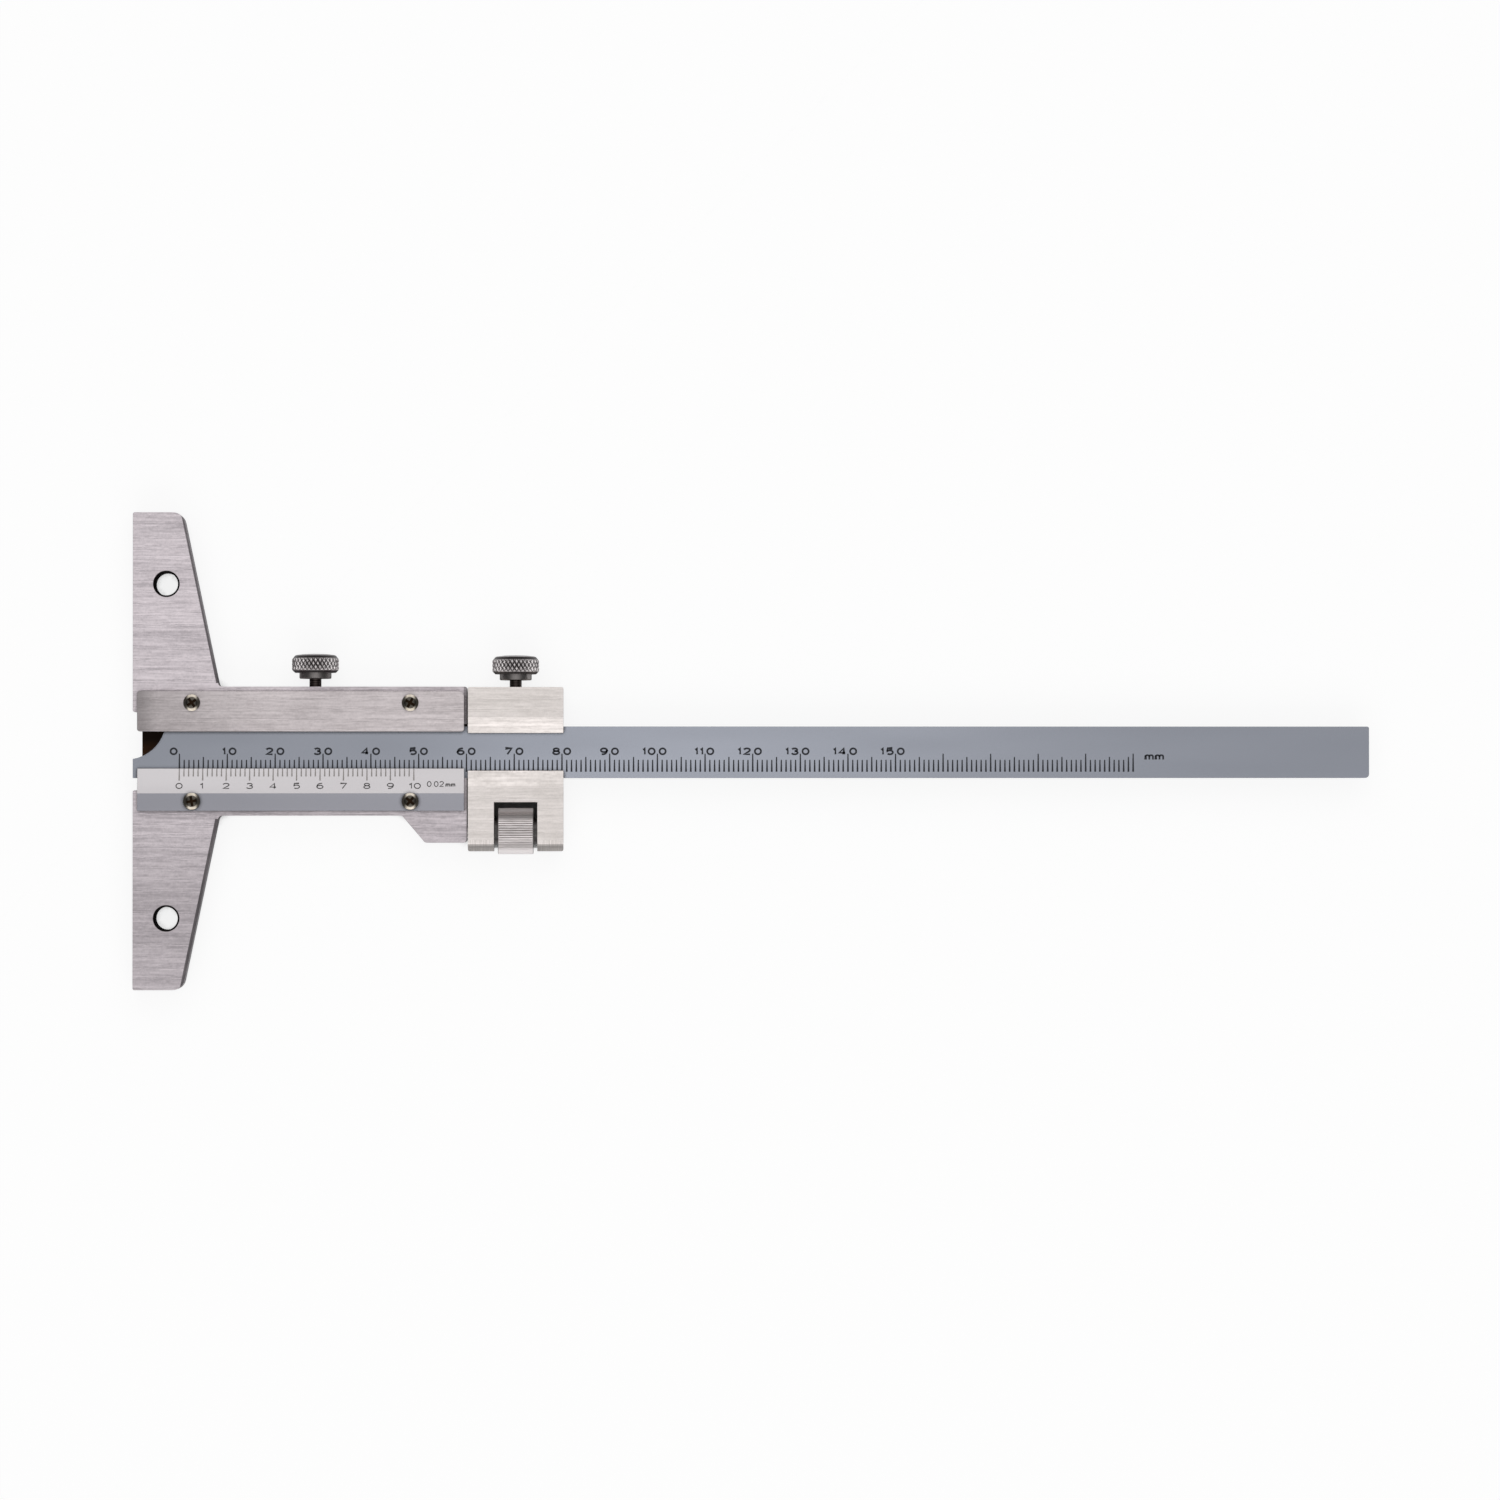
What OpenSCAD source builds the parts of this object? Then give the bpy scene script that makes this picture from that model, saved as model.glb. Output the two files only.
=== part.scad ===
// Vernier depth gauge with fine feed, lying on its back.
// X runs from the measuring face along the beam, Y across the base, Z up from the back plane.
// Sizes along X are measured from the measuring face. The origin is midway between the two
// holes for an extension base, on the back plane.

/* [Base] */
// Length of the base across the beam
base_span = 100; // [90:1:160]
// Thickness of the base and slider
base_thick = 6.5; // [6:0.1:9]
// Depth of the base beside the slider
root_depth = 18; // [14:0.5:24]
// Depth of the base at its two ends
end_depth = 10.4; // [10:0.1:14]
// Rounding of the far corners at the two ends
end_round = 2.5; // [0.5:0.1:3]
// Width of the relief that splits the measuring face
relief_w = 16.4; // [14:0.1:22]
// Depth of the relief in the measuring face
relief_d = 1.8; // [0.8:0.1:2.5]
// Diameter of the holes for an extension base
hole_d = 4.8; // [3:0.1:6]
// Distance between the holes for an extension base
hole_span = 70; // [50:1:76]
// Distance of the holes from the measuring face
hole_inset = 7; // [6:0.1:7.4]
// Chamfer round the holes
hole_chamfer = 0.35; // [0.1:0.05:0.6]
// Chamfer along the sloping edge of the upper arm
upper_chamfer = 0.4; // [0.1:0.1:0.8]
// Chamfer along the sloping edge of the lower arm
lower_chamfer = 0.6; // [0.1:0.1:0.9]

/* [Slider] */
// Length of the slider, from the measuring face
slider_len = 69.85; // [67:0.05:90]
// Width of the slider across the beam
slider_w = 27; // [25:0.5:34]
// How far the block for the feed rod stands out below the slider
block_drop = 5.7; // [5.5:0.1:8]
// Length of the block along its lower edge
block_len = 8.75; // [8:0.05:12]
// Length of the slope that leads to the block
block_slope = 4.85; // [2:0.05:10]

/* [Beam] */
// Length of the beam
beam_len = 259.5; // [200:0.5:320]
// Width of the beam
beam_w = 10.8; // [10:0.1:12]
// Thickness of the beam
beam_t = 3; // [2.7:0.1:3.6]
// Radius of the relief beside the measuring tip
tip_relief_r = 8.2; // [7:0.1:10]
// How far the centre of that relief stands off the tip
tip_relief_off = 1.3; // [0:0.1:3]
// Width of the measuring tip
tip_w = 4; // [2:0.1:6]
// Rounding of the lower far corner of the beam
beam_end_round = 0.8; // [0.2:0.1:2]

/* [Plates] */
// Thickness of the cover plate and of the vernier plate
plate_t = 1.5; // [1.2:0.1:2.5]
// Width of the cover plate
cover_w = 8.4; // [7.9:0.1:9.5]
// Width of the vernier plate
vernier_w = 8.85; // [8:0.05:9.5]
// Width of the flat strip of the vernier plate, beside its bevel
vernier_flat_w = 3.65; // [3.6:0.05:4.5]
// Thickness left at a beveled edge
bevel_edge_t = 0.25; // [0.1:0.05:0.5]
// Distance of the plates from the measuring face
plate_start = 1; // [0.5:0.1:3]
// Width of the slider that shows beside the plates
plate_rim = 1; // [0.5:0.1:1.5]
// Length of the slider that shows past the plates
plate_end_rim = 0.6; // [0.2:0.1:2]
// Rounding of the cover plate's outer rear corner, twice that of its other corners
cover_round = 1.1; // [0.2:0.1:2]

/* [Plate screws] */
// Distance of the front screws from the measuring face
front_screw_x = 12.4; // [8:0.1:16]
// Distance of the rear screws from the slider's end
rear_screw_inset = 11.85; // [7.85:0.05:13.85]
// Distance of the cover's screws from its outer edge
cover_screw_inset = 2.4; // [2:0.1:3.2]
// Distance of the vernier plate's screws from its outer edge
vernier_screw_inset = 2; // [1.8:0.1:2.2]
// Diameter of a plate screw's head
screw_head_d = 3.5; // [3:0.1:3.6]
// Height of a plate screw's head
screw_head_h = 0.95; // [0.8:0.05:1.5]
// Radius of the head's dome
screw_dome_r = 3.2; // [2.4:0.1:5]
// Diameter of a plate screw's thread
screw_d = 1.9; // [1.4:0.1:2.2]
// Depth of a plate screw in the slider
screw_depth = 3.5; // [2:0.1:4]
// Width of the arms of the cross recess
recess_w = 0.55; // [0.3:0.05:0.6]
// Length across the cross recess
recess_len = 2.2; // [1.2:0.1:2.4]
// Depth of the cross recess
recess_depth = 0.6; // [0.3:0.05:0.7]

/* [Gibs] */
// Room between the beam's upper edge and the wall of its channel
gib_room = 0.5; // [0.45:0.05:0.8]
// Thickness of the leaf springs
gib_t = 0.3; // [0.2:0.05:0.35]
// Distance of the slider's leaf spring from the slider's two ends
gib_inset = 5; // [3:0.5:12]
// Distance of the carrier's leaf spring from the carrier's two ends
carrier_gib_inset = 1; // [0.5:0.1:4]
// Distance of the front gib screw from the measuring face
front_gib_screw_x = 22; // [20:0.5:30]
// Distance of the rear gib screw from the slider's end
rear_gib_screw_inset = 17.85; // [17.85:0.05:23.85]
// Diameter of the gib screws
gib_screw_d = 2; // [1.6:0.1:2.2]
// How deep the gib screws sit below the slider's upper edge
gib_screw_sink = 0.4; // [0.1:0.1:1.5]

/* [Clamp screws] */
// Distance of the slider's clamp screw from the measuring face
clamp_x = 38.1; // [34:0.1:42]
// Diameter of a clamp screw's knurled head
knob_d = 9.8; // [8:0.1:9.8]
// Height of a clamp screw's knurled head
knob_h = 3.7; // [3:0.1:6]
// Rise of the head's domed top
knob_dome = 0.25; // [0.1:0.05:0.6]
// Depth of the chamfers of the head's two rims
knob_chamfer = 0.6; // [0.3:0.1:1]
// Number of knurl grooves in each direction
knurl_count = 32; // [24:1:40]
// Depth of the knurl grooves
knurl_depth = 0.3; // [0.1:0.05:0.4]
// Slant of the knurl grooves
knurl_angle = 34; // [20:1:45]
// Diameter of the collar under the head
collar_d = 6.7; // [4:0.1:8]
// Height of the collar under the head
collar_h = 1.25; // [0.5:0.05:3]
// Diameter of a clamp screw's thread
clamp_d = 2.5; // [2:0.1:2.6]
// Length of the thread that shows above the slider
slider_clamp_show = 1.7; // [1:0.1:4]
// Length of the thread that shows above the carrier
carrier_clamp_show = 1.5; // [1:0.1:4]
// Thickness of the pads under the clamp screws
pad_t = 1.2; // [0.6:0.1:2]

/* [Fine feed] */
// Gap between the slider and the carrier at rest
carrier_gap = 0.2; // [0.1:0.05:1]
// Length of the carrier
carrier_len = 20; // [18:0.1:26]
// Height of the carrier above the centre line
carrier_rise = 13.4; // [12.5:0.1:15]
// Depth of the carrier's ears below the centre line
carrier_drop = 21; // [20.5:0.1:24]
// Rounding of the ears' lower edges
ear_round = 2.3; // [0.5:0.1:3]
// Distance of the carrier's upper lip from the centre line
upper_lip = 3.8; // [3:0.1:4.6]
// Distance of the carrier's lower lip from the centre line
lower_lip = 4.1; // [3:0.1:5]
// Width of the bevels on both lips
lip_bevel = 3.3; // [1:0.1:4]
// Length of the window for the feed nut
window_len = 9.05; // [8.5:0.05:10]
// Height of the window for the feed nut
window_h = 10.3; // [10:0.1:11.5]
// Distance of the feed nut's axis below the centre line
feed_drop = 16.75; // [16.5:0.05:17]
// Height of the feed nut's axis above the back plane
feed_z = 4; // [3:0.1:4.5]
// Diameter of the feed nut
nut_d = 9.7; // [9:0.1:10.4]
// Length of the feed nut's knurled band
nut_len = 7.45; // [6:0.05:8]
// Number of teeth on the feed nut
nut_teeth = 60; // [40:1:72]
// Depth of the teeth on the feed nut
tooth_depth = 0.22; // [0.1:0.02:0.3]
// Share of the pitch that a tooth's flat crest takes
crest_share = 0.6; // [0.3:0.05:0.8]
// Diameter of the feed nut's end bosses
boss_d = 5.5; // [4.5:0.1:7]
// Diameter of the feed rod
rod_d = 3; // [2:0.1:3]
// Depth of the feed rod in the slider's block
rod_seat = 7.4; // [5:0.1:8]
// Distance from the end of the feed rod to the carrier's far face
rod_setback = 0.5; // [0.2:0.1:3]
// Diameter of the pin that holds the feed rod
pin_d = 1.2; // [0.8:0.1:1.4]

/* [Clearances] */
// Gap round the beam, the leaf springs and the feed nut's ends
slide_gap = 0.025; // [0.01:0.005:0.05]
// Gap round the threads
thread_gap = 0.03; // [0.01:0.01:0.08]
// Gap round the feed rod in the carrier's ears
rod_gap = 0.2; // [0.05:0.05:0.4]

/* [Hidden] */
$fn = 96;

cut = 1;
arc_steps = 6;
face_round = 0.4;
small_round = 0.8;
nut_chamfer = 0.15;
collar_chamfer = 0.15;
second_slant_depth = 0.9;
knurl_phase = 0.25;
slot_w = 0.4;
slot_depth = 0.6;
spring_steps = 20;

front_z = base_thick + plate_t;
floor_z = base_thick - beam_t - 2 * slide_gap;
beam_z = floor_z + slide_gap;
clamp_z = beam_z + beam_t / 2;
channel_w = beam_w + gib_room + slide_gap;
channel_top = channel_w / 2;
beam_low = slide_gap - channel_w / 2;
beam_top = beam_low + beam_w;
plate_end = slider_len - plate_end_rim;
plate_edge = slider_w / 2 - plate_rim;
cover_screw_y = plate_edge - cover_screw_inset;
vernier_screw_y = vernier_screw_inset - plate_edge;
rear_screw_x = slider_len - rear_screw_inset;
rear_gib_screw_x = slider_len - rear_gib_screw_inset;
carrier_start = slider_len + carrier_gap;
carrier_end = carrier_start + carrier_len;
carrier_mid = carrier_start + carrier_len / 2;
clamp_bore_d = clamp_d + 2 * thread_gap;

function unit(v) = v / norm(v);

// Points of the arc that rounds the corner p, coming from a and going on to b
function corner_arc(a, p, b, r) =
    let (
        u = unit(a - p), v = unit(b - p),
        half = acos(u * v) / 2,
        middle = p + unit(u + v) * r / sin(half),
        from = p + u * r / tan(half) - middle,
        to = p + v * r / tan(half) - middle,
        start = atan2(from[1], from[0]),
        turn = atan2(to[1], to[0]) - start,
        sweep = turn > 180 ? turn - 360 : turn < -180 ? turn + 360 : turn
    )
    [for (i = [0:arc_steps]) let (t = start + sweep * i / arc_steps) middle + r * [cos(t), sin(t)]];

// Outline through corners [x, y, radius], where a radius of 0 is a sharp corner
function rounded(corners) =
    let (n = len(corners), at = [for (c = corners) [c[0], c[1]]])
    [for (i = [0:n - 1])
        each corners[i][2] == 0 ? [at[i]]
            : corner_arc(at[(i + n - 1) % n], at[i], at[(i + 1) % n], corners[i][2])];

// Moves what is measured from the measuring face to its place about the origin
module from_face() {
    translate([-hole_inset, 0, 0]) children();
}

// Extrudes a section of Y and Z along X, between two distances from the measuring face
module along_beam(x0, x1) {
    translate([x0, 0, 0]) rotate([90, 0, 90]) linear_extrude(x1 - x0) children();
}

// Turns what stands on Z so that it stands on +Y, at a place given by x, y and z
module upright(x, y, z) {
    translate([x, y, z]) rotate([-90, 0, 0]) children();
}

// Outline of the base and slider, which are one piece
function slider_outline() =
    let (
        end = base_span / 2,
        side = slider_w / 2,
        relief = relief_w / 2,
        block_y = -side - block_drop
    )
    rounded([
        [0, -end, face_round],
        [end_depth, -end, end_round],
        [root_depth, -side, small_round],
        [slider_len - block_len - block_slope, -side, small_round],
        [slider_len - block_len, block_y, small_round],
        [slider_len, block_y, small_round],
        [slider_len, side, face_round],
        [root_depth, side, small_round],
        [end_depth, end, end_round],
        [0, end, face_round],
        [0, relief, face_round],
        [relief_d, relief, 0],
        [relief_d, -relief, 0],
        [0, -relief, face_round]
    ]);

// Cuts the chamfers off one sloping edge of the base, on its front and back
module sloping_chamfers(chamfer) {
    run = [end_depth - root_depth, (base_span - slider_w) / 2];
    bar = chamfer * sqrt(2);
    for (z = [0, base_thick])
        translate([root_depth, slider_w / 2, z])
            rotate([0, 0, atan2(run[1], run[0])])
                rotate([45, 0, 0])
                    translate([small_round, -bar / 2, -bar / 2]) cube([norm(run), bar, bar]);
}

module extension_hole() {
    translate([0, 0, -cut]) cylinder(h = base_thick + 2 * cut, d = hole_d);
    cylinder(h = hole_chamfer, d1 = hole_d + 2 * hole_chamfer, d2 = hole_d);
    translate([0, 0, base_thick - hole_chamfer])
        cylinder(h = hole_chamfer, d1 = hole_d, d2 = hole_d + 2 * hole_chamfer);
}

// Tapped holes for the four plate screws
module plate_screw_taps() {
    for (x = [front_screw_x, rear_screw_x], y = [cover_screw_y, vernier_screw_y])
        translate([x, y, base_thick - screw_depth - slide_gap])
            cylinder(h = screw_depth + cut, d = screw_d + 2 * thread_gap);
}

module slider_frame() {
    color("silver") from_face() difference() {
        linear_extrude(base_thick) polygon(slider_outline());
        translate([-cut, -channel_w / 2, floor_z])
            cube([slider_len + 2 * cut, channel_w, base_thick]);
        for (side = [0, 1]) mirror([0, side, 0]) {
            sloping_chamfers(side == 0 ? upper_chamfer : lower_chamfer);
            translate([hole_inset, hole_span / 2, 0]) extension_hole();
        }
        plate_screw_taps();
        upright(clamp_x, 0, clamp_z) cylinder(h = slider_w / 2 + cut, d = clamp_bore_d);
        for (x = [front_gib_screw_x, rear_gib_screw_x])
            upright(x, 0, clamp_z)
                cylinder(h = slider_w / 2 + cut, d = gib_screw_d + 2 * thread_gap);
        along_beam(slider_len - rod_seat - slide_gap, slider_len + cut)
            translate([-feed_drop, feed_z]) circle(d = rod_d + 2 * thread_gap);
        translate([slider_len - rod_seat / 2, -feed_drop, -cut])
            cylinder(h = feed_z + rod_d / 2 + cut, d = pin_d + 2 * thread_gap);
    }
}

module beam() {
    relief_x = -tip_relief_off;
    relief_y = beam_low + tip_w + sqrt(pow(tip_relief_r, 2) - pow(tip_relief_off, 2));
    break_edge = face_round / 2;
    color("lightsteelblue") from_face() difference() {
        translate([0, 0, beam_z]) linear_extrude(beam_t) polygon(rounded([
            [0, beam_low, 0],
            [beam_len, beam_low, beam_end_round],
            [beam_len, beam_top, face_round],
            [0, beam_top, 0]
        ]));
        translate([relief_x, relief_y, 0]) {
            cylinder(h = front_z, r = tip_relief_r);
            translate([0, 0, beam_z + beam_t - break_edge])
                cylinder(h = break_edge + cut, r1 = tip_relief_r,
                         r2 = tip_relief_r + break_edge + cut);
        }
    }
}

// Clearance holes through a plate for its two screws
module plate_holes(y) {
    for (x = [front_screw_x, rear_screw_x])
        translate([x, y, base_thick - cut])
            cylinder(h = plate_t + 2 * cut, d = screw_d + 4 * thread_gap);
}

module cover_plate() {
    inner = plate_edge - cover_w;
    color("silver") from_face() difference() {
        translate([0, 0, base_thick]) linear_extrude(plate_t) polygon(rounded([
            [plate_start, inner, cover_round / 2],
            [plate_end, inner, cover_round / 2],
            [plate_end, plate_edge, cover_round],
            [plate_start, plate_edge, cover_round / 2]
        ]));
        plate_holes(cover_screw_y);
    }
}

module vernier_plate() {
    inner = vernier_w - plate_edge;
    color("gainsboro") from_face() difference() {
        along_beam(plate_start, plate_end) polygon([
            [-plate_edge, base_thick],
            [inner, base_thick],
            [inner, base_thick + bevel_edge_t],
            [vernier_flat_w - plate_edge, front_z],
            [-plate_edge, front_z]
        ]);
        plate_holes(vernier_screw_y);
    }
}

// Screw with a domed head and a cross recess turned by some degrees, seated on a plate
module plate_screw(x, y, turned) {
    color("tan") from_face() translate([x, y, front_z]) difference() {
        union() {
            intersection() {
                cylinder(h = screw_head_h, d = screw_head_d);
                translate([0, 0, screw_head_h - screw_dome_r]) sphere(r = screw_dome_r);
            }
            translate([0, 0, -plate_t - screw_depth])
                cylinder(h = plate_t + screw_depth + screw_head_h / 4, d = screw_d);
        }
        for (arm = [0, 90])
            rotate([0, 0, turned + arm])
                translate([-recess_len / 2, -recess_w / 2, screw_head_h - recess_depth])
                    cube([recess_len, recess_w, screw_head_h]);
    }
}

module cover_screw_front() {
    plate_screw(front_screw_x, cover_screw_y, 35);
}

module cover_screw_rear() {
    plate_screw(rear_screw_x, cover_screw_y, 60);
}

module vernier_screw_front() {
    plate_screw(front_screw_x, vernier_screw_y, 10);
}

module vernier_screw_rear() {
    plate_screw(rear_screw_x, vernier_screw_y, 50);
}

// Height of a leaf spring's outer face at x: its ends press on the beam, its middle on the wall
function leaf_y(x, x0, x1) =
    beam_top + slide_gap + gib_t
        + (gib_room - gib_t - 2 * slide_gap) * sin(180 * (x - x0) / (x1 - x0));

// Bowed leaf spring that lies in the room above the beam's upper edge
module leaf_spring(x0, x1) {
    xs = [for (i = [0:spring_steps]) x0 + (x1 - x0) * i / spring_steps];
    outer = [for (x = xs) [x, leaf_y(x, x0, x1)]];
    inner = [for (i = [spring_steps:-1:0]) [xs[i], leaf_y(xs[i], x0, x1) - gib_t]];
    translate([0, 0, beam_z]) linear_extrude(beam_t) polygon(concat(outer, inner));
}

module gib_spring() {
    color("tan") from_face() leaf_spring(gib_inset, slider_len - gib_inset);
}

module carrier_spring() {
    color("tan") from_face()
        leaf_spring(carrier_start + carrier_gib_inset, carrier_end - carrier_gib_inset);
}

// Slotted screw that sets one end of the slider's leaf spring
module gib_screw(x) {
    low = leaf_y(x, gib_inset, slider_len - gib_inset) + slide_gap;
    length = slider_w / 2 - gib_screw_sink - low;
    color("dimgray") from_face() upright(x, low, clamp_z) difference() {
        cylinder(h = length, d = gib_screw_d);
        translate([-gib_screw_d, -slot_w / 2, length - slot_depth])
            cube([2 * gib_screw_d, slot_w, slot_depth + cut]);
    }
}

module gib_screw_front() {
    gib_screw(front_gib_screw_x);
}

module gib_screw_rear() {
    gib_screw(rear_gib_screw_x);
}

// V-grooves of one slant and depth round a knurled head that stands on z = 0
module slanted_grooves(angle, depth) {
    bar = depth * sqrt(2);
    for (i = [0:knurl_count - 1])
        rotate([0, 0, (i + knurl_phase) * 360 / knurl_count])
            translate([knob_d / 2, 0, knob_h / 2])
                rotate([angle, 0, 0])
                    rotate([0, 0, 45]) cube([bar, bar, 2 * knob_h], center = true);
}

// Clamp screw along Z, with its collar's underside at z = 0 and its thread going down
module clamp_screw(thread_len) {
    knob_r = knob_d / 2;
    top = collar_h + knob_h;
    ease = knob_chamfer / 2;
    color("dimgray") {
        difference() {
            rotate_extrude() polygon([
                [0, collar_h],
                [knob_r - knob_chamfer, collar_h],
                [knob_r, collar_h + knob_chamfer],
                [knob_r, top - knob_chamfer - ease],
                [knob_r - knob_chamfer, top - ease / 2],
                [knob_r - knob_chamfer - ease, top],
                [knob_r / 2, top + knob_dome * 3 / 4],
                [knob_r / 8, top + knob_dome],
                [0, top + knob_dome]
            ]);
            translate([0, 0, collar_h]) {
                slanted_grooves(knurl_angle, knurl_depth);
                slanted_grooves(-knurl_angle, knurl_depth * second_slant_depth);
            }
        }
        rotate_extrude() polygon([
            [0, -thread_len],
            [clamp_d / 2, -thread_len],
            [clamp_d / 2, 0],
            [collar_d / 2 - collar_chamfer, 0],
            [collar_d / 2, collar_chamfer],
            [collar_d / 2, collar_h + collar_chamfer],
            [0, collar_h + collar_chamfer]
        ]);
    }
}

// Pad between a clamp screw's end and the leaf spring, at a distance from the measuring face
module clamp_pad(x) {
    color("goldenrod") from_face() upright(x, channel_top, clamp_z)
        cylinder(h = pad_t, d = clamp_bore_d - 4 * thread_gap);
}

module slider_clamp_pad() {
    clamp_pad(clamp_x);
}

module carrier_clamp_pad() {
    clamp_pad(carrier_mid);
}

module slider_clamp_screw() {
    foot = slider_w / 2 + slider_clamp_show;
    from_face() upright(clamp_x, foot, clamp_z)
        clamp_screw(foot - channel_top - pad_t - slide_gap);
}

module carrier_clamp_screw() {
    foot = carrier_rise + carrier_clamp_show;
    from_face() upright(carrier_mid, foot, clamp_z)
        clamp_screw(foot - channel_top - pad_t - slide_gap);
}

// Section of the carrier across the beam, with the slot and lips that hold the beam
function carrier_section() =
    rounded([
        [-carrier_drop, 0, ear_round],
        [carrier_rise, 0, 0],
        [carrier_rise, front_z, 0],
        [upper_lip + lip_bevel, front_z, 0],
        [upper_lip, base_thick + bevel_edge_t, 0],
        [upper_lip, base_thick, 0],
        [channel_top, base_thick, 0],
        [channel_top, floor_z, 0],
        [-channel_top, floor_z, 0],
        [-channel_top, base_thick, 0],
        [-lower_lip, base_thick, 0],
        [-lower_lip, base_thick + bevel_edge_t, 0],
        [-lower_lip - lip_bevel, front_z, 0],
        [-carrier_drop, front_z, ear_round]
    ]);

// Outline of the carrier seen from the front, with its four corners eased
function carrier_outline() =
    rounded([
        [carrier_start, -carrier_drop, face_round],
        [carrier_end, -carrier_drop, face_round],
        [carrier_end, carrier_rise, face_round],
        [carrier_start, carrier_rise, face_round]
    ]);

module carrier() {
    color("gainsboro") from_face() difference() {
        intersection() {
            along_beam(carrier_start, carrier_end) polygon(carrier_section());
            linear_extrude(front_z) polygon(carrier_outline());
        }
        translate([carrier_mid - window_len / 2, -carrier_drop - cut, -cut])
            cube([window_len, window_h + cut, front_z + 2 * cut]);
        along_beam(carrier_start - cut, carrier_end + cut)
            translate([-feed_drop, feed_z]) circle(d = rod_d + 2 * rod_gap);
        upright(carrier_mid, 0, clamp_z) cylinder(h = carrier_rise + cut, d = clamp_bore_d);
    }
}

module feed_screw() {
    color("gray") from_face()
        along_beam(slider_len - rod_seat, carrier_end - rod_setback)
            translate([-feed_drop, feed_z]) circle(d = rod_d);
}

module feed_screw_pin() {
    color("gray") from_face() translate([slider_len - rod_seat / 2, -feed_drop, slide_gap])
        cylinder(h = feed_z - rod_d / 2 - 2 * slide_gap, d = pin_d);
}

// Toothed outline of the feed nut about its axis
function toothed_outline() =
    [for (i = [0:nut_teeth - 1], corner = [[0, 0], [crest_share, 0], [(1 + crest_share) / 2, 1]])
        let (t = (i + corner[0]) * 360 / nut_teeth, r = nut_d / 2 - corner[1] * tooth_depth)
        r * [cos(t), sin(t)]];

// Cone that widens from one end of the feed nut, and so leaves a chamfer there
module nut_end_cone(turned) {
    end_r = nut_d / 2 - nut_chamfer;
    rotate([turned, 0, 0]) translate([0, 0, -nut_len / 2])
        cylinder(h = nut_len + cut, r1 = end_r, r2 = end_r + nut_len + cut);
}

module feed_nut() {
    ends = window_len / 2 - slide_gap;
    color("silver") from_face()
        translate([carrier_mid, -feed_drop, feed_z]) rotate([0, 90, 0]) difference() {
            union() {
                intersection() {
                    linear_extrude(nut_len, center = true) polygon(toothed_outline());
                    nut_end_cone(0);
                    nut_end_cone(180);
                }
                cylinder(h = 2 * ends, d = boss_d, center = true);
            }
            cylinder(h = 2 * ends + 2 * cut, d = rod_d + 2 * thread_gap, center = true);
        }
}

slider_frame();
beam();
cover_plate();
vernier_plate();
cover_screw_front();
cover_screw_rear();
vernier_screw_front();
vernier_screw_rear();
gib_spring();
gib_screw_front();
gib_screw_rear();
slider_clamp_pad();
slider_clamp_screw();
carrier();
carrier_spring();
carrier_clamp_pad();
carrier_clamp_screw();
feed_screw();
feed_screw_pin();
feed_nut();
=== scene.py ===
"""Looks of the vernier depth gauge: camera, studio, metals and the filled graduations."""
import math

import bmesh
import bpy
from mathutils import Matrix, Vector


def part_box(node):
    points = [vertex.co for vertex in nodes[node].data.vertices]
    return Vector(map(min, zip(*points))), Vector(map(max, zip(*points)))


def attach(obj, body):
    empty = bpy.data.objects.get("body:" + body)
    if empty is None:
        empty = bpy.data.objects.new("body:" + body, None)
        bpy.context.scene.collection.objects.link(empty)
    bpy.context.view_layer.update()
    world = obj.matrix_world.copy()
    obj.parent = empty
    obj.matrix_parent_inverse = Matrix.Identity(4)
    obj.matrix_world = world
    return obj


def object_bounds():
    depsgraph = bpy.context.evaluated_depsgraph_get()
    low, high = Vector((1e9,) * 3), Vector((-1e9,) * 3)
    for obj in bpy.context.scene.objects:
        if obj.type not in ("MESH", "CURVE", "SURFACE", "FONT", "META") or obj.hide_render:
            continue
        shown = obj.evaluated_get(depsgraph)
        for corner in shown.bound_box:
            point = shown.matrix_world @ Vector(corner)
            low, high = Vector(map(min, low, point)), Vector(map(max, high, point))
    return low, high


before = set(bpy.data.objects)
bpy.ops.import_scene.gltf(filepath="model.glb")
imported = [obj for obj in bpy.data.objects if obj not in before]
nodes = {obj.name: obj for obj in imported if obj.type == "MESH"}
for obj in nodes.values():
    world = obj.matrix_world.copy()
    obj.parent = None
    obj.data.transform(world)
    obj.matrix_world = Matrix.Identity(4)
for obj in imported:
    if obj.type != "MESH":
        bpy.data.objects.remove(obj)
cad_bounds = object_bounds()

MM = 0.001


# Places and sizes on the solids, in mm

BEAM_FRONT_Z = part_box("beam")[1].z / MM
VERNIER_LOW, VERNIER_HIGH = (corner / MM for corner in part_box("vernier_plate"))
BEVEL_EDGE_T = 0.25
VERNIER_FLAT_W = 3.65
COVER_END_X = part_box("cover_plate")[1].x / MM
BASE_HOLE_Y = 35.0
BASE_HOLE_EDGE_R = 2.77
CHANNEL_Y = 5.68
CHANNEL_Z = (3.4, 6.45)
EAR_Y = -18.7
NUT_R = 4.85
ROD_R = 1.5


# Camera, at the photograph's angle and distance

camera_data = bpy.data.cameras.new("camera")
camera_data.sensor_width = 36
camera_data.lens = 148.05
camera_data.clip_start = 0.05
camera_data.clip_end = 30
camera = bpy.data.objects.new("camera", camera_data)
camera.location = (0.08324, -0.01667, 1.3)
camera.rotation_euler = (0.01307, -0.03009, -0.00037)
bpy.context.scene.collection.objects.link(camera)
bpy.context.scene.camera = camera
bpy.context.scene.view_settings.view_transform = "Standard"


# Node trees

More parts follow.
